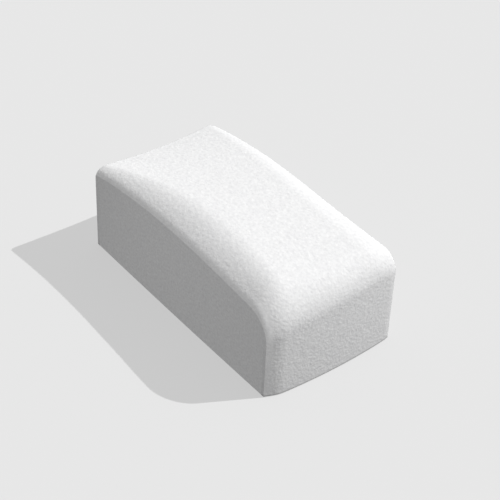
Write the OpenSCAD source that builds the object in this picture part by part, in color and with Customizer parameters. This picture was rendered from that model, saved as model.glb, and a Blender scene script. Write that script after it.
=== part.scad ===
// Four-way nail buffer block: a soft foam core inside four abrasive sheets, each held by an
// adhesive film. One sheet is folded like a saddle over the top and down both ends, and its cut
// edge laps over flat panels on the two long sides. A fourth sheet lies underneath, between them.
// Millimetres. Origin at the centre of the base, +X towards the well rounded front end,
// +Y across the block, +Z up.

/* [Block] */
// Length from the rear end to the front end
block_length = 50; // [36:1:90]
// Width across the two long sides, at the base
block_width = 26; // [22:0.2:40]
// Height of the highest point of the top
block_height = 19; // [15:0.1:30]

/* [Pillow top] */
// Place of the highest point along the half length, 0 is the middle and 1 the front end
crown_place = 0.33; // [0:0.01:0.5]
// How far the top falls at one half length away from its highest point
crown_fall = 1.52; // [0:0.02:2]
// Power of the fall: 2 is a plain arc, more keeps the middle flatter
crown_power = 2.5; // [2:0.1:3.5]
// Rise of the rear edge's corners above the middle of that edge
dish_rear = 0.85; // [0:0.05:1]
// Rise of the sides above the centre line at mid length, below 0 is a dome
dish_mid = 0.2; // [-0.5:0.05:0.5]
// Rise of the front edge's corners above the middle of that edge
dish_front = 0.15; // [0:0.05:1]
// How far the top of the block leans towards +Y at mid length
lean = 1.7; // [0:0.1:2.5]
// How much more the rear half leans than the front half
lean_skew = 0.55; // [0:0.05:0.8]
// How much narrower each half of the block is at its two ends
end_narrowing = 0.15; // [0:0.05:0.6]

/* [Rolled edges] */
// Width of the roll along the long top edges at the rear end
roll_width_rear = 2; // [2:0.1:5]
// Width of the roll along the long top edges at mid length
roll_width_mid = 6; // [3:0.1:7]
// Width of the roll along the long top edges at the front end
roll_width_front = 4.6; // [2:0.1:6]
// Steepness of the roll where it meets the side
roll_slope = 0.94; // [0.4:0.02:1]
// Width of the flat part of the roll, next to the side face
roll_flat = 0.55; // [0.2:0.05:2]
// How much wider that flat part is at the front end
roll_flat_growth = 1.35; // [0:0.05:2]
// Share of the roll and the lip that is left on the +Y side at the front end
right_share = 0.35; // [0.2:0.05:1]
// Drop of the small lip right at the side face
lip_drop = 0.45; // [0.1:0.05:0.6]
// Width of the lip
lip_width = 0.85; // [0.6:0.05:1.5]

/* [Ends] */
// Radius between top and front end, on the -Y side
front_radius_left = 6.9; // [3:0.1:9]
// Radius between top and front end, on the +Y side
front_radius_right = 4.4; // [3:0.1:9]
// Radius between top and rear end
rear_radius = 0.95; // [0.8:0.05:4]
// How far the front end bulges at mid width
front_bow = 0.7; // [0:0.05:1]
// Slope of the facet on the -Y front upright corner
facet_slope = 0.31; // [0.2:0.01:0.6]
// Width of the flat part of that facet
facet_flat = 1.4; // [1:0.1:3]
// Width of the facet with the blend into the front end
facet_width = 3.4; // [3.1:0.1:6]
// How far the front end steps back at the +Y upright corner
front_corner_depth = 0.16; // [0.1:0.02:0.8]
// How far the rear end steps back at its upright corners
rear_corner_depth = 0.18; // [0.1:0.02:0.8]
// Width of the roll at the rear and the +Y front upright corners
corner_width = 1.4; // [1:0.1:3]

/* [Layers] */
// Thickness of an abrasive sheet, grains included
sheet_thickness = 0.6; // [0.4:0.05:0.8]
// Thickness of an adhesive film
film_thickness = 0.15; // [0.1:0.05:0.2]
// Height at which the saddle's flaps and the side panels end above the ground
flap_foot = 0.15; // [0.05:0.05:0.3]

/* [Hidden] */

half_length = block_length / 2;
half_width = block_width / 2;
// a hair of room between pieces that lie face to face
gap = 0.01;
// depths of the films' outer and inner faces, and of the core, below the outer surface
film_outer = sheet_thickness + gap;
film_inner = film_outer + film_thickness;
core_depth = film_inner + gap;
// smallest radius of an inner layer's corner
least_radius = 0.4;
// power of the lean with height, so the lower half stays upright
lean_power = 1.5;
// hollow section of the lip
lip_power = 3;
// least width over which the roll blends into the top
least_blend = 0.8;
// how much of the edge's roll the radius at the front end and at the rear end gives up
front_tuck = 0.98;
rear_tuck = 0.3;
rear_tuck_place = -0.93;
// distances in from a side face at which the surfaces have a row of points
edge_rows = [0, sheet_thickness / 2, sheet_thickness, 1, 1.5, 2.1, 2.8, 3.7, 4.9, 6.6];
// rows over the middle of the block, from one edge zone to the other
middle_rows = 5;
// stations along each stretch of the outline
end_steps = 5;
rear_arc_steps = 4;
top_steps = 24;
front_arc_steps = 8;
// points of the outline's upper part, which is its two arcs and the top between them
upper_count = rear_arc_steps + top_steps + front_arc_steps + 1;
outline_count = upper_count + 2 * end_steps;

// Share along the half length, -1 at the rear end and 1 at the front end
function along(x) = x / half_length;

// Share across the half width
function across(y) = y / half_width;

// Distance in from the nearer side face
function side_distance(y) = max(0, half_width - abs(y));

function lerp(a, b, t) = a + (b - a) * t;

// Rise of the sides above the centre line, at the rear, in the middle and at the front
function dish(X) = lerp(dish_mid, X < 0 ? dish_rear : dish_front, X * X);

// Height of the pillow top before its long edges are rolled
function crown(X, Y) =
    block_height - crown_fall * pow(abs(X - crown_place), crown_power) + dish(X) * Y * Y;

// 0 in the rear half, then rising to 1 at the front end
function frontness(X) = pow(max(0, X), 2);

// Fall of a surface near an edge: a flat slope that blends out, at the distance s from the edge
function chamfer(slope, flat, width, s) =
    s < flat
        ? slope * ((flat + width) / 2 - s)
        : slope * pow(max(0, width - s), 2) / (2 * (width - flat));

// Roll of the long top edges
function roll(X, s) =
    let (
        flat = roll_flat + roll_flat_growth * frontness(X),
        slant = (roll_width_front - roll_width_rear) / 2,
        waist = (roll_width_front + roll_width_rear) / 2 - roll_width_mid,
        width = max(flat + least_blend, roll_width_mid + slant * X + waist * X * X)
    )
    chamfer(roll_slope, flat, width, s);

// Small lip right at the side face
function lip(s) = lip_drop * pow(max(0, 1 - s / lip_width), lip_power);

// Whole drop of the long top edges
function edge_drop(X, y) =
    let (
        s = side_distance(y),
        share = y > 0 ? lerp(1, right_share, frontness(X)) : 1
    )
    share * (roll(X, s) + lip(s));

// Height of the top
function top_height(x, y) = crown(along(x), across(y)) - edge_drop(along(x), y);

// Step back of an end near an upright corner that is only a little rounded
function small_step(depth, s) = depth * pow(max(0, 1 - s / corner_width), 2);

// Step back of the front end: a facet at the -Y upright corner, a small step at the +Y one
function front_step(y) =
    let (s = side_distance(y))
    y < 0
        ? chamfer(facet_slope, facet_flat, facet_width, s)
        : small_step(front_corner_depth, s);

// Place of the two ends at the distance y from the centre line
function rear_end(y) = -half_length + small_step(rear_corner_depth, side_distance(y));
function front_end(y) = half_length - front_bow * pow(across(y), 2) - front_step(y);

// Radii from the ends to the top, smaller where the edges roll
function front_round(y) =
    let (
        r = lerp(front_radius_left, front_radius_right, (across(y) + 1) / 2),
        X = along(front_end(y) - r)
    )
    max(least_radius, r - front_tuck * (edge_drop(X, y) + front_step(y)) / 2);
function rear_round(y) =
    max(least_radius, rear_radius - rear_tuck * edge_drop(rear_tuck_place, y));

// Outline of the block, in X and Z, at the distance y from the centre line and the depth d
// below the outer surface: up the rear end, over the top and down the front end to the foot
function outline(y, d, foot) =
    let (
        rear = rear_end(y) + d,
        front = front_end(y) - d,
        rr = max(least_radius, rear_round(y) - d),
        rf = max(least_radius, front_round(y) - d),
        rear_z = top_height(rear + rr, y) - d - rr,
        front_z = top_height(front - rf, y) - d - rf
    )
    concat(
        [for (i = [0 : end_steps - 1]) [rear, lerp(foot, rear_z, i / end_steps)]],
        [for (i = [0 : rear_arc_steps - 1])
            let (a = 90 * i / rear_arc_steps)
            [rear + rr - rr * cos(a), rear_z + rr * sin(a)]],
        [for (i = [0 : top_steps])
            let (x = lerp(rear + rr, front - rf, i / top_steps))
            [x, top_height(x, y) - d]],
        [for (i = [1 : front_arc_steps])
            let (a = 90 * i / front_arc_steps)
            [front - rf + rf * sin(a), front_z + rf * cos(a)]],
        [for (i = [1 : end_steps]) [front, lerp(front_z, foot, i / end_steps)]]
    );

// Place of a point of the block after its ends narrow and its top leans
function bend(x, y, z) =
    let (X = along(x))
    [x,
     y - end_narrowing * across(y) * X * X
       + lean * ((1 - X * X) * (1 - lean_skew * X) * pow(max(0, z) / block_height, lean_power)
        - 0.5),
     z];

// Places across the block at which there is a row of points, from margin to margin. They crowd
// at the rolled edges.
function row_places(margin) =
    let (
        edge = concat([margin], [for (s = edge_rows) if (s > margin + gap) s]),
        last = half_width - edge[len(edge) - 1]
    )
    concat(
        [for (s = edge) s - half_width],
        [for (i = [1 : middle_rows]) lerp(-last, last, i / (middle_rows + 1))],
        [for (i = [len(edge) - 1 : -1 : 0]) half_width - edge[i]]
    );

// Closed skin of a grid of quads, rows[i][j], between an outer and an inner surface
module slab(outer, inner) {
    n = len(outer);
    m = len(outer[0]);
    points = concat([for (row = outer) each row], [for (row = inner) each row]);
    o = n * m;
    faces = concat(
        [for (i = [0 : n - 2], j = [0 : m - 2]) each [
            [i * m + j, i * m + j + 1, (i + 1) * m + j + 1],
            [i * m + j, (i + 1) * m + j + 1, (i + 1) * m + j],
            [o + i * m + j, o + (i + 1) * m + j + 1, o + i * m + j + 1],
            [o + i * m + j, o + (i + 1) * m + j, o + (i + 1) * m + j + 1]]],
        [for (j = [0 : m - 2]) each [
            [j, o + j + 1, j + 1],
            [j, o + j, o + j + 1],
            [(n - 1) * m + j, (n - 1) * m + j + 1, o + (n - 1) * m + j + 1],
            [(n - 1) * m + j, o + (n - 1) * m + j + 1, o + (n - 1) * m + j]]],
        [for (i = [0 : n - 2]) each [
            [i * m, (i + 1) * m, o + (i + 1) * m],
            [i * m, o + (i + 1) * m, o + i * m],
            [i * m + m - 1, o + (i + 1) * m + m - 1, (i + 1) * m + m - 1],
            [i * m + m - 1, o + i * m + m - 1, o + (i + 1) * m + m - 1]]]
    );
    polyhedron(points, faces, convexity = 4);
}

// Rows of the saddle surface at the depth d
function saddle_surface(margin, d, foot) =
    [for (y = row_places(margin)) [for (p = outline(y, d, foot)) bend(p[0], y, p[1])]];

// Folded sheet or film between two depths
module saddle(margin, d_outer, d_inner, foot) {
    slab(saddle_surface(margin, d_outer, foot), saddle_surface(margin, d_inner, foot));
}

// Rows of a side surface at the distance y from the centre line, from under the saddle down to
// the foot
function panel_surface(y, d, foot) =
    let (line = outline(y, d, foot))
    [for (k = [0 : end_steps])
        [for (j = [end_steps : end_steps + upper_count - 1])
            bend(line[j][0], y, lerp(line[j][1], foot, k / end_steps))]];

// Flat sheet or film on a long side, between two distances in from the side face
module side_panel(side, s_outer, s_inner, d, foot) {
    outer = panel_surface(side * (half_width - s_outer), d, foot);
    inner = panel_surface(side * (half_width - s_inner), d, foot);
    if (side < 0)
        slab(inner, outer);
    else
        slab(outer, inner);
}

// Footprint of the block at the depth d inside its outer faces
function footprint(d) =
    let (places = row_places(d), n = len(places))
    concat(
        [for (y = places) let (p = bend(front_end(y) - d, y, 0)) [p[0], p[1]]],
        [for (i = [n - 1 : -1 : 0])
            let (y = places[i], p = bend(rear_end(y) + d, y, 0))
            [p[0], p[1]]]
    );

// Flat plate under the block
module base_plate(d, z, thickness) {
    translate([0, 0, z])
        linear_extrude(height = thickness)
            polygon(footprint(d));
}

// Soft block inside all the films
module foam_core() {
    rows = saddle_surface(core_depth, core_depth, core_depth);
    n = len(rows);
    m = outline_count;
    q = end_steps;
    inner = upper_count - 2;
    reach = half_width - core_depth;
    sides = [for (y = [-reach, reach]) panel_surface(y, core_depth, core_depth)];
    // points of a side that are not on its upper border or its two upright edges
    own = [for (side = sides, k = [1 : q], j = [1 : inner]) side[k][j]];
    // number of the point k rows down from the border of side c, and j along it
    function number(c, k, j) =
        let (row = c * (n - 1) * m)
        k == 0 ? row + q + j
        : j == 0 ? row + q - k
        : j == inner + 1 ? row + q + inner + 1 + k
        : n * m + (c * q + k - 1) * inner + j - 1;
    color("ivory")
        polyhedron(concat([for (row = rows) each row], own), concat(
            [for (i = [0 : n - 2], j = [0 : m - 2]) each [
                [i * m + j, i * m + j + 1, (i + 1) * m + j + 1],
                [i * m + j, (i + 1) * m + j + 1, (i + 1) * m + j]]],
            [for (k = [0 : q - 1], j = [0 : inner]) each [
                [number(0, k, j), number(0, k + 1, j), number(0, k + 1, j + 1)],
                [number(0, k, j), number(0, k + 1, j + 1), number(0, k, j + 1)],
                [number(1, k, j), number(1, k + 1, j + 1), number(1, k + 1, j)],
                [number(1, k, j), number(1, k, j + 1), number(1, k + 1, j + 1)]]],
            [concat(
                [for (i = [0 : n - 1]) i * m],
                [for (j = [1 : inner]) number(1, q, j)],
                [for (i = [n - 1 : -1 : 0]) i * m + m - 1],
                [for (j = [inner : -1 : 1]) number(0, q, j)]
            )]
        ), convexity = 4);
}

module saddle_adhesive() {
    color("lightyellow")
        saddle(film_inner, film_outer, film_inner, core_depth);
}

module left_adhesive() {
    color("lightyellow")
        side_panel(-1, film_outer, film_inner - gap, core_depth, core_depth);
}

module right_adhesive() {
    color("lightyellow")
        side_panel(1, film_outer, film_inner - gap, core_depth, core_depth);
}

module base_adhesive() {
    color("lightyellow")
        base_plate(film_inner, film_outer, film_thickness - gap);
}

module saddle_abrasive() {
    color("white")
        saddle(0, 0, sheet_thickness, flap_foot);
}

module left_abrasive() {
    color("whitesmoke")
        side_panel(-1, 0, sheet_thickness, film_outer, flap_foot);
}

module right_abrasive() {
    color("whitesmoke")
        side_panel(1, 0, sheet_thickness, film_outer, flap_foot);
}

module base_abrasive() {
    color("whitesmoke")
        base_plate(film_outer, 0, sheet_thickness);
}

foam_core();
saddle_adhesive();
left_adhesive();
right_adhesive();
base_adhesive();
saddle_abrasive();
left_abrasive();
right_abrasive();
base_abrasive();
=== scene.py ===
import math

import bmesh
import bpy
from bpy.props import FloatProperty, FloatVectorProperty, PointerProperty, StringProperty
from mathutils import Matrix, Vector, noise


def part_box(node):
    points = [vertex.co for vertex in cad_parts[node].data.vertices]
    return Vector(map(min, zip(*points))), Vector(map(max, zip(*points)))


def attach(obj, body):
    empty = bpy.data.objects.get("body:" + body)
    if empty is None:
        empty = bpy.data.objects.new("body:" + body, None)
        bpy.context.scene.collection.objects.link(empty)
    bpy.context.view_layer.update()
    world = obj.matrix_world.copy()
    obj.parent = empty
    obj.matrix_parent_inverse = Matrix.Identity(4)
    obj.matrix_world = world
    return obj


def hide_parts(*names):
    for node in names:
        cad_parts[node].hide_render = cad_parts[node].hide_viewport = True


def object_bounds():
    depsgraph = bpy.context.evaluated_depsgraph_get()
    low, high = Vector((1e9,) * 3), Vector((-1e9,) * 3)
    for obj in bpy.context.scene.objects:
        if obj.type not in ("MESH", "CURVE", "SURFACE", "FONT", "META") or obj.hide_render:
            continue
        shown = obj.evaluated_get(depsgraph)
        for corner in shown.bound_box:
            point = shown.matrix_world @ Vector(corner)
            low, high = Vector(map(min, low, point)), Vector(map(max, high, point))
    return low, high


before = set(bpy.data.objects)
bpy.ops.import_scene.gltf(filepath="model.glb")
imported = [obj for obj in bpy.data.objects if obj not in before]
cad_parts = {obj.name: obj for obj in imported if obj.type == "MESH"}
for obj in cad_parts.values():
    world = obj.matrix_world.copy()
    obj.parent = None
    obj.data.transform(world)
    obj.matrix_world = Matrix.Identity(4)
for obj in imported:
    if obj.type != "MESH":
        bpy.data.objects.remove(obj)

bl_info = {
    "name": "Nail Buffer Block",
    "version": (1, 0, 0),
    "blender": (4, 5, 0),
    "location": "3D View > Sidebar > Buffer",
    "description": "Builds a soft foam nail buffer block faced with fine abrasive sheets",
    "category": "Add Mesh",
}

CAD_LOW, CAD_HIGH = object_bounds()
MM = 0.001
BODY = "root"


def box_size(cad_node):
    """Length, width and height of a CAD node, in metres."""
    low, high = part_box(cad_node)
    return high - low


BLOCK_LENGTH = box_size("saddle_abrasive").x
BLOCK_HEIGHT = CAD_HIGH[2] - CAD_LOW[2]
SHEET_THICKNESS = box_size("base_abrasive").z


def length(name, description, default):
    """A length property in metres, shown in the scene's own unit."""
    return FloatProperty(
        name=name, description=description, default=default,
        unit="LENGTH", subtype="DISTANCE",
    )


def number(name, description, default):
    """A plain number property, a share, a slope or a power."""
    return FloatProperty(name=name, description=description, default=default)


def hex_colour(text):
    """Linear red, green and blue of an sRGB hex value."""
    parts = [int(text[i : i + 2], 16) / 255 for i in (1, 3, 5)]
    return [c / 12.92 if c <= 0.04045 else ((c + 0.055) / 1.055) ** 2.4 for c in parts]


def colour(name, description, default):
    """A colour property whose default is an sRGB hex value."""
    return FloatVectorProperty(
        name=name, description=description, default=hex_colour(default), subtype="COLOR",
        size=3, min=0, max=1,
    )


# ---------------------------------------------------------------- settings


class BufferForm(bpy.types.PropertyGroup):
    """Outer form of the block, the same driving sizes as its CAD source."""

    block_length: length("Length", "From the rear end to the front end", BLOCK_LENGTH)
    block_width: length("Width", "Across the two long sides, at the base", 26.0 * MM)
    block_height: length("Height", "Highest point of the top", BLOCK_HEIGHT)
    crown_place: number("Crown place", "Highest point along the half length", 0.33)
    crown_fall: length("Crown fall", "Fall one half length from the highest point", 1.52 * MM)
    crown_power: number("Crown power", "Power of the fall, 2 is a plain arc", 2.5)
    dish_rear: length("Rear dish", "Rise of the rear edge's corners above its middle", 0.85 * MM)
    dish_mid: length("Middle dish", "Rise of the sides above the centre line", 0.2 * MM)
    dish_front: length("Front dish", "Rise of the front edge's corners above its middle", 0.15 * MM)
    lean: length("Lean", "How far the top leans towards +Y at mid length", 1.7 * MM)
    lean_skew: number("Lean skew", "How much more the rear half leans", 0.55)
    end_narrowing: length("End narrowing", "How much narrower each half is at the ends", 0.15 * MM)
    roll_width_rear: length("Roll, rear", "Width of the roll at the rear end", 2.0 * MM)
    roll_width_mid: length("Roll, middle", "Width of the roll at mid length", 6.0 * MM)
    roll_width_front: length("Roll, front", "Width of the roll at the front end", 4.6 * MM)
    roll_slope: number("Roll slope", "Steepness of the roll at the side", 0.94)
    roll_flat: length("Roll, flat part", "Width of the flat part of the roll", 0.55 * MM)
    roll_flat_growth: length("Flat growth", "How much wider it is at the front end", 1.35 * MM)
    right_share: number("Right share", "Share of the roll left on the +Y side at the front", 0.35)
    lip_drop: length("Lip drop", "Drop of the small lip at the side face", 0.45 * MM)
    lip_width: length("Lip width", "Width of the lip", 0.85 * MM)
    front_radius_left: length("Front radius, left", "Top to front end, -Y side", 6.9 * MM)
    front_radius_right: length("Front radius, right", "Top to front end, +Y side", 4.4 * MM)
    rear_radius: length("Rear radius", "Top to rear end", 0.95 * MM)
    front_bow: length("Front bow", "How far the front end bulges", 0.7 * MM)
    facet_slope: number("Facet slope", "Slope of the facet on the -Y front upright corner", 0.31)
    facet_flat: length("Facet flat", "Width of the facet's flat part", 1.4 * MM)
    facet_width: length("Facet width", "Width of the facet with its blend", 3.4 * MM)
    front_corner_depth: length("Front step", "Step back of the +Y front corner", 0.16 * MM)
    rear_corner_depth: length("Rear step", "Step back of the rear end at its corners", 0.18 * MM)
    corner_width: length("Corner", "Width of the roll at those upright corners", 1.4 * MM)
    sheet_thickness: length("Sheet", "Thickness of an abrasive sheet", SHEET_THICKNESS)
    film_thickness: length("Film", "Thickness of an adhesive film", 0.15 * MM)
    flap_foot: length("Flap foot", "Height at which flaps and side sheets end", 0.15 * MM)


class BufferGrain(bpy.types.PropertyGroup):
    """Relief of the abrasive faces."""

    mesh_step: length("Mesh step", "Spacing of the relief's points", 0.16 * MM)
    pebble_size: length("Pebble size", "Width of one soft bump of the coat", 0.8 * MM)
    pebble_height: length("Pebble height", "Height of those bumps", 0.012 * MM)
    grit_size: length("Grit size", "Width of a clump of grains", 0.32 * MM)
    grit_height: length("Grit height", "Height of those clumps", 0.042 * MM)
    swell_size: length("Swell size", "Width of the slow unevenness of the foam", 6.0 * MM)
    swell_height: length("Swell height", "Height of that unevenness", 0.03 * MM)


class BufferColours(bpy.types.PropertyGroup):
    """Colours of the block and of the stage."""

    abrasive: colour("Abrasive", "White anti-clog coat over the grains", "#F9F9F9")
    # darker spots of the coat's random mottle, laid in the relief's pits: partly tone, partly
    # painted shade
    abrasive_low: colour("Abrasive pits", "The coat where it lies deeper", "#EBEBEC")
    foam: colour("Foam", "Closed-cell foam of the core", "#F1EEE6")
    adhesive: colour("Adhesive", "Film between foam and sheet", "#E9E2C9")
    floor: colour("Floor", "Pale backdrop", "#626262")


# ---------------------------------------------------------------- form


def lerp(a, b, t):
    return a + (b - a) * t


def ease(t):
    """Smooth change from 0 to 1."""
    t = min(1.0, max(0.0, t))
    return t * t * (3 - 2 * t)


def chamfer(slope, flat, width, s):
    """Fall of a surface near an edge: a flat slope that blends out, s away from the edge."""
    if s < flat:
        return slope * ((flat + width) / 2 - s)
    return slope * max(0.0, width - s) ** 2 / (2 * (width - flat))


class Form:
    """The block's outer surface in millimetres, at any depth below it."""

    # hair of room between pieces that lie face to face
    GAP = 0.01
    # smallest radius of a corner, and least width over which the roll blends into the top
    LEAST_RADIUS = 0.4
    LEAST_BLEND = 0.8
    # how much of the edge's roll the front and the rear radius give up
    FRONT_TUCK, REAR_TUCK, REAR_TUCK_PLACE = 0.98, 0.3, -0.93
    # powers of the lip's hollow section and of the lean with height
    LIP_POWER, LEAN_POWER = 3, 1.5
    # settings that are not lengths
    PLAIN = (
        "crown_place", "crown_power", "lean_skew", "roll_slope", "right_share", "facet_slope",
    )

    def __init__(self, settings):
        for name in BufferForm.__annotations__:
            value = getattr(settings, name)
            setattr(self, name, value if name in self.PLAIN else value / MM)
        self.half_length = self.block_length / 2
        self.half_width = self.block_width / 2
        self.film_outer = self.sheet_thickness + self.GAP
        self.core_depth = self.film_outer + self.film_thickness + self.GAP

    def side_distance(self, y):
        """Distance in from the nearer side face."""
        return max(0.0, self.half_width - abs(y))

    def edge_drop(self, along, y):
        """Drop of the rolled long edges and of the small lip at the side faces."""
        s = self.side_distance(y)
        front = max(0.0, along) ** 2
        slant = (self.roll_width_front - self.roll_width_rear) / 2
        waist = (self.roll_width_front + self.roll_width_rear) / 2 - self.roll_width_mid
        flat = self.roll_flat + self.roll_flat_growth * front
        width = max(
            flat + self.LEAST_BLEND, self.roll_width_mid + slant * along + waist * along * along
        )
        drop = chamfer(self.roll_slope, flat, width, s)
        drop += self.lip_drop * max(0.0, 1 - s / self.lip_width) ** self.LIP_POWER
        return drop * (lerp(1.0, self.right_share, front) if y > 0 else 1.0)

    def top(self, x, y):
        """Height of the top."""
        along, across = x / self.half_length, y / self.half_width
        fall = self.crown_fall * abs(along - self.crown_place) ** self.crown_power
        end = self.dish_rear if along < 0 else self.dish_front
        dish = lerp(self.dish_mid, end, along * along)
        return self.block_height - fall + dish * across * across - self.edge_drop(along, y)

    def small_step(self, depth, y):
        """Step back of an end near an upright corner that is only a little rounded."""
        return depth * max(0.0, 1 - self.side_distance(y) / self.corner_width) ** 2

    def front_step(self, y):
        """Step back of the front end: a flat facet at -Y, a small step at +Y."""
        if y > 0:
            return self.small_step(self.front_corner_depth, y)
        return chamfer(
            self.facet_slope, self.facet_flat, self.facet_width, self.side_distance(y)
        )

    def rear(self, y):
        """Place of the rear end."""
        return -self.half_length + self.small_step(self.rear_corner_depth, y)

    def front(self, y):
        """Place of the front end."""
        across = y / self.half_width
        return self.half_length - self.front_bow * across * across - self.front_step(y)

    def front_round(self, y):
        """Radius between top and front end."""
        share = (y / self.half_width + 1) / 2
        radius = lerp(self.front_radius_left, self.front_radius_right, share)
        drop = self.edge_drop((self.front(y) - radius) / self.half_length, y)
        return max(self.LEAST_RADIUS, radius - self.FRONT_TUCK * (drop + self.front_step(y)) / 2)

    def rear_round(self, y):
        """Radius between top and rear end."""
        drop = self.edge_drop(self.REAR_TUCK_PLACE, y)
        return max(self.LEAST_RADIUS, self.rear_radius - self.REAR_TUCK * drop)

    def bend(self, x, y, z):
        """The narrower ends and the lean of the top."""
        along = x / self.half_length
        y -= self.end_narrowing * y / self.half_width * along * along
        rise = (max(0.0, z) / self.block_height) ** self.LEAN_POWER
        shift = (1 - along * along) * (1 - self.lean_skew * along) * rise - 0.5
        return Vector((x, y + self.lean * shift, z))

    def ends(self, y, depth):
        """Places of the two ends at a depth, and the radii there."""
        return (
            self.rear(y) + depth,
            self.front(y) - depth,
            max(self.LEAST_RADIUS, self.rear_round(y) - depth),
            max(self.LEAST_RADIUS, self.front_round(y) - depth),
        )

    def outline(self, y, depth, foot):
        """Stretches of the lengthwise outline at y, each with its size: rear flap, rear arc, top,
        front arc and front flap. The flaps end at the height foot."""
        rear, front, rr, rf = self.ends(y, depth)
        low = self.top(rear + rr, y) - depth - rr
        high = self.top(front - rf, y) - depth - rf
        quarter = math.pi / 2

        def rear_flap(t):
            return rear, lerp(foot, low, t)

        def rear_arc(t):
            return rear + rr - rr * math.cos(t * quarter), low + rr * math.sin(t * quarter)

        def across_top(t):
            x = lerp(rear + rr, front - rf, t)
            return x, self.top(x, y) - depth

        def front_arc(t):
            return front - rf + rf * math.sin(t * quarter), high + rf * math.cos(t * quarter)

        def front_flap(t):
            return front, lerp(high, foot, t)

        return [
            (low - foot, rear_flap),
            (rr * quarter, rear_arc),
            (front - rf - rear - rr, across_top),
            (rf * quarter, front_arc),
            (high - foot, front_flap),
        ]


def walk(stretches, share):
    """Point at a share of the whole length of a row of stretches."""
    rest = share * sum(size for size, _ in stretches)
    for size, place in stretches:
        if rest <= size:
            return place(rest / size)
        rest -= size
    return stretches[-1][1](1.0)


# ---------------------------------------------------------------- mesh helpers


# places in the noise field, so that the layers of relief don't line up
GRIT_PLACE, FINE_PLACE, SWELL_PLACE = Vector((2, 9, 4)), Vector((7, 3, 1)), Vector((5, 5, 5))
# the finer half of the grit: its size as a share of the coarser half's, and its share of height
FINE_SIZE, FINE_SHARE = 0.7, 0.5


def relief(point, grain):
    """Fine and slow height of the coat's relief at a point, in millimetres."""
    pebble = 0.5 - 2 * abs(noise.noise(point / grain["pebble_size"]))
    grit = noise.noise(point / grain["grit_size"] + GRIT_PLACE)
    grit += FINE_SHARE * noise.noise(point / (grain["grit_size"] * FINE_SIZE) + FINE_PLACE)
    swell = noise.noise(point / grain["swell_size"] + SWELL_PLACE)
    fine = grain["pebble_height"] * pebble + grain["grit_height"] * grit
    return fine, grain["swell_height"] * swell


def read_grain(settings):
    """The grain settings by name, in millimetres."""
    return {name: getattr(settings, name) / MM for name in BufferGrain.__annotations__}


def placed_grid(bm, shares, columns, rows, margin, place):
    """A grid of columns by rows quads whose points are put where place(u, w) says.
    Each point keeps its u and w in the layers given by shares."""
    made = bmesh.ops.create_grid(bm, x_segments=columns, y_segments=rows, size=1.0)["verts"]
    for v in made:
        u = lerp(margin, 1 - margin, (v.co.x + 1) / 2)
        w = lerp(margin, 1 - margin, (v.co.y + 1) / 2)
        v[shares[0]], v[shares[1]] = u, w
        v.co = place(u, w)
    return made


def rim_edges(bm, verts):
    """Edges of the open border of a patch."""
    mine = set(verts)
    return [e for e in bm.edges if e.is_boundary and e.verts[0] in mine and e.verts[1] in mine]


# width over which the relief fades out at a cut edge, in millimetres, and how many times coarser
# than its face a sheet's glued back is
EDGE_FADE, BACK_STEP = 0.4, 8


def sheet_mesh(name, outer, inner, size, grain, roughness):
    """A closed sheet: a dense relief face, a cut rim and a plain glued back.
    outer(u, w) and inner(u, w) say where the faces lie, size is their extent along u and w in
    millimetres, and roughness(u, w) is 1 where the coat is untouched and 0 where it is pressed
    smooth. The relief fades out at the cut edges, and the mesh keeps it as an attribute."""
    columns, rows = (max(4, round(extent / grain["mesh_step"])) for extent in size)
    bm = bmesh.new()
    shares = [bm.verts.layers.float.new(layer) for layer in ("u", "w")]
    rough = bm.verts.layers.float.new("coat_relief")
    face = placed_grid(bm, shares, columns, rows, 0.0, outer)
    bm.normal_update()
    middle = face[len(face) // 2]
    at_middle = middle[shares[0]], middle[shares[1]]
    outwards = outer(*at_middle) - inner(*at_middle)
    if middle.normal.dot(outwards) < 0:
        bmesh.ops.reverse_faces(bm, faces=bm.faces)
        bm.normal_update()
    lifts = []
    for v in face:
        u, w = v[shares[0]], v[shares[1]]
        edge = min(min(u, 1 - u) * size[0], min(w, 1 - w) * size[1])
        v[rough] = roughness(u, w)
        fine, swell = relief(v.co, grain)
        lifts.append(v.normal * (fine * v[rough] + swell) * ease(edge / EDGE_FADE))
    for v, lift in zip(face, lifts):
        v.co += lift

    border = rim_edges(bm, face)
    made = bmesh.ops.extrude_edge_only(bm, edges=border)["geom"]
    for v in made:
        if isinstance(v, bmesh.types.BMVert):
            v.co = inner(v[shares[0]], v[shares[1]])
    inner_border = [g for g in made if isinstance(g, bmesh.types.BMEdge) and g.is_boundary]
    for e in border + inner_border:
        e.smooth = False
    back = placed_grid(
        bm, shares, max(4, columns // BACK_STEP), max(4, rows // BACK_STEP), 0.5 / rows, inner
    )
    bmesh.ops.bridge_loops(bm, edges=inner_border + rim_edges(bm, back))
    bmesh.ops.recalc_face_normals(bm, faces=bm.faces)
    for layer in ("u", "w"):
        bm.verts.layers.float.remove(bm.verts.layers.float[layer])
    return finish_mesh(bm, name)


def finish_mesh(bm, name):
    """An object at the origin from a mesh in millimetres."""
    bmesh.ops.transform(bm, matrix=Matrix.Scale(MM, 4), verts=bm.verts)
    mesh = bpy.data.meshes.new(name)
    for f in bm.faces:
        f.smooth = True
    bm.to_mesh(mesh)
    bm.free()
    piece = bpy.data.objects.new(name, mesh)
    bpy.context.scene.collection.objects.link(piece)
    return piece


def put_on(piece, cad_node, material):
    """Lets a piece stand for a CAD node, on the block's one body."""
    piece.data.materials.append(material)
    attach(piece, BODY)
    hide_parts(cad_node)


# ---------------------------------------------------------------- materials


def node(tree, kind, links=(), **settings):
    """Adds a node, sets its attributes and inputs, and links inputs to other nodes' outputs."""
    new = tree.nodes.new(kind)
    inputs = settings.pop("inputs", {})
    for name, value in settings.items():
        setattr(new, name, value)
    for name, value in inputs.items():
        new.inputs[name].default_value = value
    for name, source in dict(links).items():
        tree.links.new(source, new.inputs[name])
    return new


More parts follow.
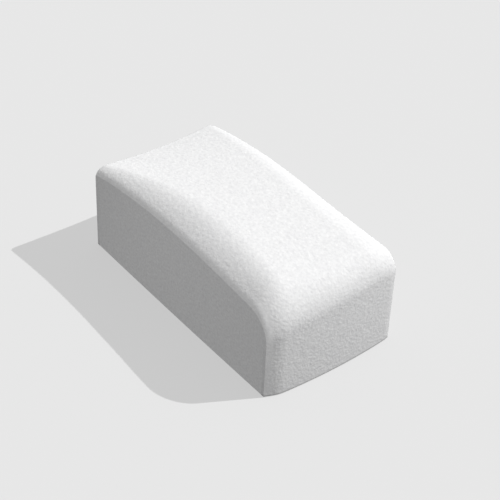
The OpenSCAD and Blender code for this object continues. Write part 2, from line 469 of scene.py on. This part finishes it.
def new_material(name):
    """An empty material and its node tree."""
    material = bpy.data.materials.new(name)
    material.use_nodes = True
    tree = material.node_tree
    tree.nodes.clear()
    return material, tree


def darker(linear, share):
    """A share of a linear colour, with full alpha."""
    return (*(c * share for c in linear), 1)


def per_size(size):
    """Scale of a pattern on metre coordinates whose features are this wide, in millimetres."""
    return 1 / (size * MM)


# painted shade near the ground: how many times darker than the painted shade around it the thin
# painted contact shadow along a sheet's cut edge at the foot is, the heights between which that
# line fades, in millimetres, and the share of the block's height up to which the painted shade
# reaches
CONTACT_SHADOW_GAIN = 4
CONTACT_SHADOW_LOW, CONTACT_SHADOW_HIGH = 0.2, 0.5
GROUND_SHADE_REACH = 0.75


def coated_abrasive(name, colours, grit_mm, depth_mm, foot_wear=0.0):
    """White stearate-coated abrasive paper: fine aluminium oxide grains under a chalky anti-clog
    coat. It is matte and evenly white, with soft pits where the coat lies between clumps;
    its colour mottles at random and is painted a little darker in those pits, as painted shade.
    foot_wear is how much painted shade darkens the coat towards the ground; a thin painted contact
    shadow along the foot is darker still."""
    material, tree = new_material(name)
    place = node(tree, "ShaderNodeTexCoord").outputs["Object"]
    clumps = node(
        tree, "ShaderNodeTexNoise", {"Vector": place},
        inputs={"Scale": per_size(grit_mm * 2), "Detail": 3.0, "Roughness": 0.6},
    ).outputs["Fac"]
    cells = node(
        tree, "ShaderNodeTexVoronoi", {"Vector": place}, feature="SMOOTH_F1",
        inputs={"Scale": per_size(grit_mm), "Smoothness": 0.6},
    ).outputs["Distance"]
    # the coat mottles with the clumps' noise and is darker where the relief lies low: partly random
    # tone, partly painted shade in the pits
    tint = node(
        tree, "ShaderNodeMapRange", {"Value": clumps},
        inputs={"From Min": 0.3, "From Max": 0.7},
    ).outputs["Result"]
    coat_colour = node(
        tree, "ShaderNodeMix", {"Factor": tint}, data_type="RGBA",
        inputs={"A": (*colours.abrasive_low, 1), "B": (*colours.abrasive, 1)},
    ).outputs["Result"]
    height_axis = node(tree, "ShaderNodeSeparateXYZ", {"Vector": place}).outputs["Z"]
    # painted shade: the coat is painted darker towards the ground, fading out up the block
    ground_shade = node(
        tree, "ShaderNodeMapRange", {"Value": height_axis},
        inputs={
            "From Min": 0.0, "From Max": GROUND_SHADE_REACH * BLOCK_HEIGHT,
            "To Min": foot_wear, "To Max": 0.0,
        },
    ).outputs["Result"]
    # painted contact shadow: a thin darker line along the sheet's foot, just above the ground
    contact_shadow = node(
        tree, "ShaderNodeMapRange", {"Value": height_axis},
        inputs={
            "From Min": CONTACT_SHADOW_LOW * MM, "From Max": CONTACT_SHADOW_HIGH * MM,
            "To Min": CONTACT_SHADOW_GAIN * foot_wear, "To Max": 0.0,
        },
    ).outputs["Result"]
    # the two painted shades added together
    painted_shade = node(tree, "ShaderNodeMath", {0: ground_shade, 1: contact_shadow}, operation="ADD").outputs["Value"]
    # the coat colour mixed towards black by that painted shade
    shaded_coat = node(
        tree, "ShaderNodeMix", {"Factor": painted_shade, "A": coat_colour}, data_type="RGBA",
        inputs={"B": (0, 0, 0, 1)},
    ).outputs["Result"]
    grains = node(
        tree, "ShaderNodeMath", {0: clumps, 1: cells}, operation="SUBTRACT"
    ).outputs["Value"]
    coat = node(
        tree, "ShaderNodeAttribute", attribute_type="GEOMETRY", attribute_name="coat_relief"
    ).outputs["Fac"]
    height = node(
        tree, "ShaderNodeMath", {0: grains, 1: coat}, operation="MULTIPLY"
    ).outputs["Value"]
    bump = node(
        tree, "ShaderNodeBump", {"Height": height},
        inputs={"Strength": 1.0, "Distance": depth_mm * MM},
    ).outputs["Normal"]
    shader = node(
        tree, "ShaderNodeBsdfPrincipled", {"Base Color": shaded_coat, "Normal": bump},
        inputs={"Roughness": 0.9, "IOR": 1.5, "Specular IOR Level": 0.25},
    )
    node(tree, "ShaderNodeOutputMaterial", {"Surface": shader.outputs["BSDF"]})
    return material


def closed_cell_foam(colours):
    """Closed-cell EVA foam, cut from a slab: the cut cells are small shallow cups."""
    material, tree = new_material("closed_cell_eva_foam")
    place = node(tree, "ShaderNodeTexCoord").outputs["Object"]
    cells = node(
        tree, "ShaderNodeTexVoronoi", {"Vector": place}, inputs={"Scale": per_size(0.5)},
    ).outputs["Distance"]
    bump = node(
        tree, "ShaderNodeBump", {"Height": cells},
        inputs={"Strength": 0.6, "Distance": 0.1 * MM},
    ).outputs["Normal"]
    # painted shade: the cups are painted darker towards their deepest middles
    shade = node(
        tree, "ShaderNodeMix", {"Factor": cells}, data_type="RGBA",
        inputs={"A": darker(colours.foam, 0.85), "B": (*colours.foam, 1)},
    ).outputs["Result"]
    shader = node(
        tree, "ShaderNodeBsdfPrincipled", {"Base Color": shade, "Normal": bump},
        inputs={"Roughness": 0.8, "IOR": 1.48},
    )
    node(tree, "ShaderNodeOutputMaterial", {"Surface": shader.outputs["BSDF"]})
    return material


def acrylic_film(colours):
    """Acrylic transfer adhesive, a tacky amber-white film that shows only as a thin glossy line."""
    material, tree = new_material("acrylic_transfer_adhesive")
    place = node(tree, "ShaderNodeTexCoord").outputs["Object"]
    streaks = node(
        tree, "ShaderNodeTexNoise", {"Vector": place}, inputs={"Scale": per_size(2.0)},
    ).outputs["Fac"]
    shade = node(
        tree, "ShaderNodeMix", {"Factor": streaks}, data_type="RGBA",
        inputs={"A": (*colours.adhesive, 1), "B": darker(colours.adhesive, 0.9)},
    ).outputs["Result"]
    shader = node(
        tree, "ShaderNodeBsdfPrincipled", {"Base Color": shade},
        inputs={"Roughness": 0.3, "IOR": 1.47},
    )
    node(tree, "ShaderNodeOutputMaterial", {"Surface": shader.outputs["BSDF"]})
    return material


def backdrop(colours, glow):
    """Matte backdrop card under a soft light table glow."""
    material, tree = new_material("matte_backdrop_card")
    place = node(tree, "ShaderNodeTexCoord").outputs["Object"]
    fibre = node(
        tree, "ShaderNodeTexNoise", {"Vector": place}, inputs={"Scale": per_size(60.0)},
    ).outputs["Fac"]
    shade = node(
        tree, "ShaderNodeMix", {"Factor": fibre}, data_type="RGBA",
        inputs={"A": darker(colours.floor, 0.995), "B": (*colours.floor, 1)},
    ).outputs["Result"]
    shader = node(
        tree, "ShaderNodeBsdfPrincipled", {"Base Color": shade},
        inputs={
            "Roughness": 1.0, "Specular IOR Level": 0.0,
            "Emission Color": (1, 1, 1, 1), "Emission Strength": glow,
        },
    )
    node(tree, "ShaderNodeOutputMaterial", {"Surface": shader.outputs["BSDF"]})
    return material


def material_named(name, make):
    """The material of that name, made the first time it is wanted."""
    return bpy.data.materials.get(name) or make()


def polishing_paper(colours):
    """The finer grade on the side and base sheets, with smaller grains in a shallower coat."""
    name = "polishing_grade_abrasive_paper"
    return material_named(name, lambda: coated_abrasive(name, colours, grit_mm=0.2, depth_mm=0.01))


# ---------------------------------------------------------------- pieces


# cuts across each side of the cube that the foam core is made from
CORE_CUTS = 47


class BUFFER_OT_foam_core(bpy.types.Operator):
    """Build the soft foam core"""

    bl_idname = "buffer.foam_core"
    bl_label = "Foam Core"

    def execute(self, context):
        form = Form(context.scene.buffer_form)
        depth = foot = form.core_depth
        bm = bmesh.new()
        bmesh.ops.create_cube(bm, size=2.0)
        bmesh.ops.subdivide_edges(bm, edges=bm.edges, cuts=CORE_CUTS, use_grid_fill=True)
        reach = form.half_width - depth
        # the cuts crowd towards the ends and the sides, where the block is rounded
        quarter = math.pi / 2
        for v in bm.verts:
            y = reach * math.sin(v.co.y * quarter)
            rear, front, rr, rf = form.ends(y, depth)
            x = lerp(rear, front, (math.sin(v.co.x * quarter) + 1) / 2)
            flat = min(max(x, rear + rr), front - rf)
            radius = rr if x < flat else rf
            drop = radius - math.sqrt(max(0.0, radius**2 - (x - flat) ** 2))
            high = form.top(flat, y) - depth - drop
            v.co = form.bend(x, y, lerp(foot, high, (v.co.z + 1) / 2))
        bmesh.ops.recalc_face_normals(bm, faces=bm.faces)
        piece = finish_mesh(bm, "foam_core_block")
        foam = material_named(
            "closed_cell_eva_foam", lambda: closed_cell_foam(context.scene.buffer_colours)
        )
        put_on(piece, "foam_core", foam)
        return {"FINISHED"}


class BUFFER_OT_adhesive_films(bpy.types.Operator):
    """Finish the adhesive films between core and sheets"""

    bl_idname = "buffer.adhesive_films"
    bl_label = "Adhesive Films"

    def execute(self, context):
        film = material_named(
            "acrylic_transfer_adhesive", lambda: acrylic_film(context.scene.buffer_colours)
        )
        for place in ("saddle", "left", "right", "base"):
            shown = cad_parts[place + "_adhesive"]
            shown.data.materials.clear()
            shown.data.materials.append(film)
        return {"FINISHED"}


# the facet that fingers hold: where it starts and is full along the saddle, where it ends and
# how softly across it, in millimetres, and how much of the relief is rubbed off there
HOLD_START, HOLD_RUN = 0.72, 0.1
HOLD_WIDTH, HOLD_BLEND = 0.8, 0.8
HOLD_WEAR = 0.6


class BUFFER_OT_saddle_sheet(bpy.types.Operator):
    """Build the abrasive sheet folded over the top and both ends"""

    bl_idname = "buffer.saddle_sheet"
    bl_label = "Saddle Sheet"

    def execute(self, context):
        form = Form(context.scene.buffer_form)
        grain = read_grain(context.scene.buffer_grain)
        foot = form.flap_foot
        reach = form.half_width
        cache = {}

        def surface(depth):
            def place(u, w):
                y = lerp(-reach, reach, w)
                key = (round(y, 6), depth)
                if key not in cache:
                    cache[key] = form.outline(y, depth, foot)
                x, z = walk(cache[key], u)
                return form.bend(x, y, z)

            return place

        around = sum(stretch for stretch, _ in form.outline(0.0, 0.0, foot))

        def roughness(u, w):
            """The front facet, which fingers hold, is smoother than the rest."""
            front = ease((u - HOLD_START) / HOLD_RUN)
            edge = 1 - ease((w * 2 * reach - HOLD_WIDTH) / HOLD_BLEND)
            return 1 - HOLD_WEAR * front * edge

        piece = sheet_mesh(
            "saddle_sheet", surface(0.0), surface(form.sheet_thickness),
            (around, 2 * reach), grain, roughness,
        )
        # the saddle sheet's coat carries the painted shade and the painted contact shadow near the
        # ground
        paper = coated_abrasive(
            "stearate_coated_abrasive_paper", context.scene.buffer_colours,
            grit_mm=0.3, depth_mm=0.02, foot_wear=0.09,
        )
        put_on(piece, "saddle_abrasive", paper)
        return {"FINISHED"}


# share of the relief on a polishing-grade sheet
POLISHING_RELIEF = 0.6


class BUFFER_OT_side_sheet(bpy.types.Operator):
    """Build one flat abrasive sheet on a long side"""

    bl_idname = "buffer.side_sheet"
    bl_label = "Side Sheet"

    place: StringProperty(name="Place", description="left or right", default="left")

    def execute(self, context):
        form = Form(context.scene.buffer_form)
        grain = read_grain(context.scene.buffer_grain)
        side = {"left": -1, "right": 1}[self.place]
        foot = form.flap_foot
        borders = {}

        def surface(s):
            y = side * (form.half_width - s)
            borders[s] = form.outline(y, form.film_outer, foot)[1:4]

            def place(u, w):
                x, z = walk(borders[s], u)
                return form.bend(x, y, lerp(z, foot, w))

            return place

        piece = sheet_mesh(
            self.place + "_sheet", surface(0.0), surface(form.sheet_thickness),
            (form.block_length, form.block_height), dict(grain, swell_height=0.0),
            lambda u, w: POLISHING_RELIEF,
        )
        paper = polishing_paper(context.scene.buffer_colours)
        put_on(piece, self.place + "_abrasive", paper)
        return {"FINISHED"}


class BUFFER_OT_base_sheet(bpy.types.Operator):
    """Build the abrasive sheet the block rests on"""

    bl_idname = "buffer.base_sheet"
    bl_label = "Base Sheet"

    def execute(self, context):
        form = Form(context.scene.buffer_form)
        grain = read_grain(context.scene.buffer_grain)
        inset = form.film_outer
        reach = form.half_width - inset

        def surface(z):
            def place(u, w):
                y = lerp(-reach, reach, w)
                x = lerp(form.rear(y) + inset, form.front(y) - inset, u)
                flat = form.bend(x, y, 0.0)
                return Vector((flat.x, flat.y, z))

            return place

        # it lies flat on the ground, so it has no relief and needs few points
        flat_grain = dict(grain, swell_height=0.0, mesh_step=3 * grain["mesh_step"])
        piece = sheet_mesh(
            "base_sheet", surface(0.0), surface(form.sheet_thickness),
            (form.block_length, 2 * reach), flat_grain, lambda u, w: 0.0,
        )
        paper = polishing_paper(context.scene.buffer_colours)
        put_on(piece, "base_abrasive", paper)
        return {"FINISHED"}


# ---------------------------------------------------------------- stage


def turn_from(azimuth, elevation):
    """Unit vector from the block towards a place at that azimuth from +X and that elevation."""
    flat = math.cos(elevation)
    return Vector((flat * math.cos(azimuth), flat * math.sin(azimuth), math.sin(elevation)))


# brightness of the surround: its mean, and how it changes towards each axis
SKY_LEVEL = 0.437
SKY_SLOPES = {"X": -0.09, "Y": 0.168, "Z": 0.25}

# lamps: name, strength, azimuth and elevation in degrees, and how it treats the backdrop. The
# window light is for the block alone, the backdrop light for the backdrop and its shadow.
LAMPS = (
    ("window_light", 1.82, 53.9, 46.7, "EXCLUDE"),
    ("backdrop_light", 7.5, 62.0, 45.0, "INCLUDE"),
)
# apparent size of both lamps, in degrees
LAMP_SPREAD = 0.6

# the backdrop reaches this many block lengths each way, and glows a little
BACKDROP_REACH = 60
BACKDROP_GLOW = 0.522

# the view: place of the camera from the block, in degrees, its roll, its distance and the point
# it looks at, in millimetres, with a small shift in the view's own plane, and its lens
VIEW_AZIMUTH, VIEW_ELEVATION, VIEW_ROLL = -38.83, 37.84, 2.417
VIEW_DISTANCE = 243.5
VIEW_AIM = (-0.71, -0.6, 8.85)
VIEW_SHIFT = (1.865, -0.474)
LENS, SENSOR = 103.5, 36.0


def sky(world):
    """Soft studio surround: brightest overhead and dim at the horizon and below."""
    world.use_nodes = True
    tree = world.node_tree
    tree.nodes.clear()
    direction = node(tree, "ShaderNodeTexCoord").outputs["Generated"]
    axes = node(tree, "ShaderNodeSeparateXYZ", {"Vector": direction}).outputs
    level = None
    for axis, slope in SKY_SLOPES.items():
        links, constants = {0: axes[axis]}, {1: slope}
        if level is None:
            constants[2] = SKY_LEVEL
        else:
            links[2] = level
        level = node(
            tree, "ShaderNodeMath", links, operation="MULTIPLY_ADD", inputs=constants
        ).outputs["Value"]
    background = node(
        tree, "ShaderNodeBackground", {"Strength": level}, inputs={"Color": (1, 1, 1, 1)}
    )
    node(tree, "ShaderNodeOutputWorld", {"Surface": background.outputs["Background"]})


class BUFFER_OT_stage(bpy.types.Operator):
    """Set the floor, the lights and the camera"""

    bl_idname = "buffer.stage"
    bl_label = "Stage"

    def execute(self, context):
        scene = context.scene
        bm = bmesh.new()
        bmesh.ops.create_grid(
            bm, x_segments=4, y_segments=4, size=BLOCK_LENGTH / MM * BACKDROP_REACH
        )
        floor = finish_mesh(bm, "floor")
        floor.data.materials.append(backdrop(scene.buffer_colours, BACKDROP_GLOW))
        floor.visible_diffuse = False
        floor.visible_glossy = False

        scene.world = bpy.data.worlds.new("soft_surround")
        sky(scene.world)

        for label, strength, azimuth, elevation, reach in LAMPS:
            lamp = bpy.data.lights.new(label, "SUN")
            lamp.energy = strength
            lamp.angle = math.radians(LAMP_SPREAD)
            stand = bpy.data.objects.new(label, lamp)
            towards = turn_from(math.radians(azimuth), math.radians(elevation))
            stand.rotation_euler = towards.to_track_quat("Z", "Y").to_euler()
            scene.collection.objects.link(stand)
            lit = bpy.data.collections.new(label + "_reach")
            lit.objects.link(floor)
            lit.collection_objects[0].light_linking.link_state = reach
            stand.light_linking.receiver_collection = lit

        back = turn_from(math.radians(VIEW_AZIMUTH), math.radians(VIEW_ELEVATION))
        sideways = Vector((0, 0, 1)).cross(back).normalized()
        upright = back.cross(sideways)
        roll = math.radians(VIEW_ROLL)
        right = sideways * math.cos(roll) + upright * math.sin(roll)
        up = upright * math.cos(roll) - sideways * math.sin(roll)
        aim = Vector(VIEW_AIM) + right * VIEW_SHIFT[0] + up * VIEW_SHIFT[1]
        camera = bpy.data.cameras.new("view")
        camera.lens = LENS
        camera.sensor_width = SENSOR
        camera.clip_start = 10 * MM
        eye = bpy.data.objects.new("view", camera)
        eye.matrix_world = Matrix((right, up, back)).transposed().to_4x4()
        eye.location = (aim + back * VIEW_DISTANCE) * MM
        scene.collection.objects.link(eye)
        scene.camera = eye
        scene.view_settings.view_transform = "Standard"
        return {"FINISHED"}


class BUFFER_PT_panel(bpy.types.Panel):
    """Lists the block's settings and pieces"""

    bl_idname = "BUFFER_PT_panel"
    bl_label = "Nail Buffer Block"
    bl_space_type = "VIEW_3D"
    bl_region_type = "UI"
    bl_category = "Buffer"

    def draw(self, context):
        scene = context.scene
        for group in (scene.buffer_form, scene.buffer_grain, scene.buffer_colours):
            box = self.layout.box()
            for name in type(group).__annotations__:
                box.prop(group, name)
        for operator in OPERATORS:
            self.layout.operator(operator.bl_idname)


GROUPS = (BufferForm, BufferGrain, BufferColours)
OPERATORS = (
    BUFFER_OT_foam_core,
    BUFFER_OT_adhesive_films,
    BUFFER_OT_saddle_sheet,
    BUFFER_OT_side_sheet,
    BUFFER_OT_base_sheet,
    BUFFER_OT_stage,
)


def register():
    for cls in (*GROUPS, *OPERATORS, BUFFER_PT_panel):
        bpy.utils.register_class(cls)
    bpy.types.Scene.buffer_form = PointerProperty(type=BufferForm)
    bpy.types.Scene.buffer_grain = PointerProperty(type=BufferGrain)
    bpy.types.Scene.buffer_colours = PointerProperty(type=BufferColours)


def unregister():
    del bpy.types.Scene.buffer_form
    del bpy.types.Scene.buffer_grain
    del bpy.types.Scene.buffer_colours
    for cls in reversed((*GROUPS, *OPERATORS, BUFFER_PT_panel)):
        bpy.utils.unregister_class(cls)


def main():
    register()
    bpy.ops.buffer.foam_core()
    bpy.ops.buffer.adhesive_films()
    bpy.ops.buffer.saddle_sheet()
    bpy.ops.buffer.side_sheet(place="left")
    bpy.ops.buffer.side_sheet(place="right")
    bpy.ops.buffer.base_sheet()
    bpy.ops.buffer.stage()


if __name__ == "__main__":
    main()
